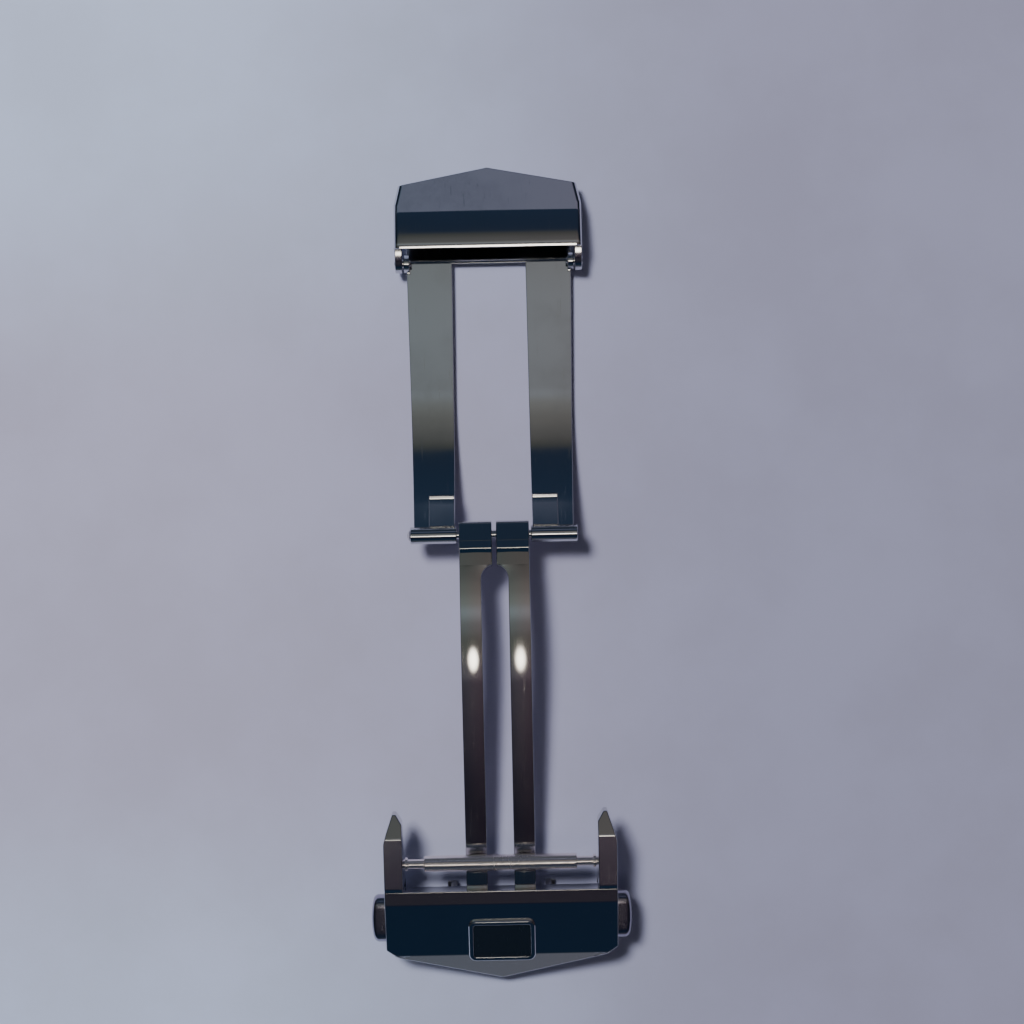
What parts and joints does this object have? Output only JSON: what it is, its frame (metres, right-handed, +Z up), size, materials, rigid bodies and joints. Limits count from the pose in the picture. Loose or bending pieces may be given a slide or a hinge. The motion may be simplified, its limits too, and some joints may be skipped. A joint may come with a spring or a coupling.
{
  "type": "watch strap folding clasp",
  "caption": "Push-button folding clasp for a leather watch strap, lying open: clamp end, hinged blades, and a cover with lugs and spring bar.",
  "frame": {"origin": "middle of the open clasp's outline, on the surface that it lies on", "axes": "+Y towards the strap clamp, +X to the right seen from above, +Z up from the surface"},
  "size_m": [0.0234, 0.076, 0.0063],
  "materials": {
    "frame_steel": "polished",
    "pin_steel": "polished",
    "lever_steel": "polished",
    "blade_steel": "polished",
    "inner_steel": "satin",
    "cover_steel": "polished",
    "plaque_rim": "polished",
    "plaque_field": "dark lacquer",
    "button_steel": "polished",
    "spring_steel": "wire",
    "bar_steel": "polished"
  },
  "bodies": {
    "frame": {"outer_frame": "frame_steel", "mid_hinge_pin": "pin_steel", "clamp_pivots": "pin_steel"},
    "clamp": {"clamp_lever": "lever_steel"},
    "blades": {"left_inner_blade": "blade_steel", "right_inner_blade": "blade_steel"},
    "cover": {"cover_shell": "cover_steel", "cover_hinge_pin": "pin_steel", "hinge_spacers": "inner_steel", "plaque_rim_ring": "plaque_rim", "plaque_field": "plaque_field", "latch_retainer": "inner_steel", "retainer_screws": "inner_steel", "spring_anchor": "inner_steel", "left_latch_spring": "spring_steel", "right_latch_spring": "spring_steel"},
    "left_push": {"left_button": "button_steel", "left_latch": "inner_steel"},
    "right_push": {"right_button": "button_steel", "right_latch": "inner_steel"},
    "spring_bar": {"spring_bar_tube": "bar_steel", "spring_bar_coil": "spring_steel"},
    "left_bar_end": {"left_bar_pin": "bar_steel"},
    "right_bar_end": {"right_bar_pin": "bar_steel"}
  },
  "joints": [
    {"name": "mid_hinge", "type": "hinge", "parent": "frame", "child": "blades", "pos_m": [0, 0.00359, 0.00376], "axis": [1, 0, 0], "range_deg": [0, 168.5]},
    {"name": "cover_hinge", "type": "hinge", "parent": "blades", "child": "cover", "pos_m": [0, -0.03278, 0.00172], "axis": [1, 0, 0], "range_deg": [0, 100]},
    {"name": "clamp_hinge", "type": "hinge", "parent": "frame", "child": "clamp", "pos_m": [0, 0.02909, 0.00165], "axis": [1, 0, 0], "range_deg": [0, 110]},
    {"name": "left_button_press", "type": "slide", "parent": "cover", "child": "left_push", "axis": [1, 0, 0], "range_m": [0, 0.0007], "stiffness_N_per_m": 500, "springref_m": -0.0005, "deforming": ["left_latch_spring"]},
    {"name": "right_button_press", "type": "slide", "parent": "cover", "child": "right_push", "axis": [-1, 0, 0], "range_m": [0, 0.0007], "stiffness_N_per_m": 500, "springref_m": -0.0005, "deforming": ["right_latch_spring"]},
    {"name": "spring_bar_spin", "type": "hinge", "parent": "cover", "child": "spring_bar", "pos_m": [0, -0.02669, 0.00474], "axis": [1, 0, 0], "continuous": true},
    {"name": "left_bar_pin_slide", "type": "slide", "parent": "spring_bar", "child": "left_bar_end", "axis": [1, 0, 0], "range_m": [0, 0.001], "stiffness_N_per_m": 300, "springref_m": -0.001, "deforming": ["spring_bar_coil"]},
    {"name": "right_bar_pin_slide", "type": "slide", "parent": "spring_bar", "child": "right_bar_end", "axis": [-1, 0, 0], "range_m": [0, 0.001], "stiffness_N_per_m": 300, "springref_m": -0.001, "deforming": ["spring_bar_coil"]}
  ]
}
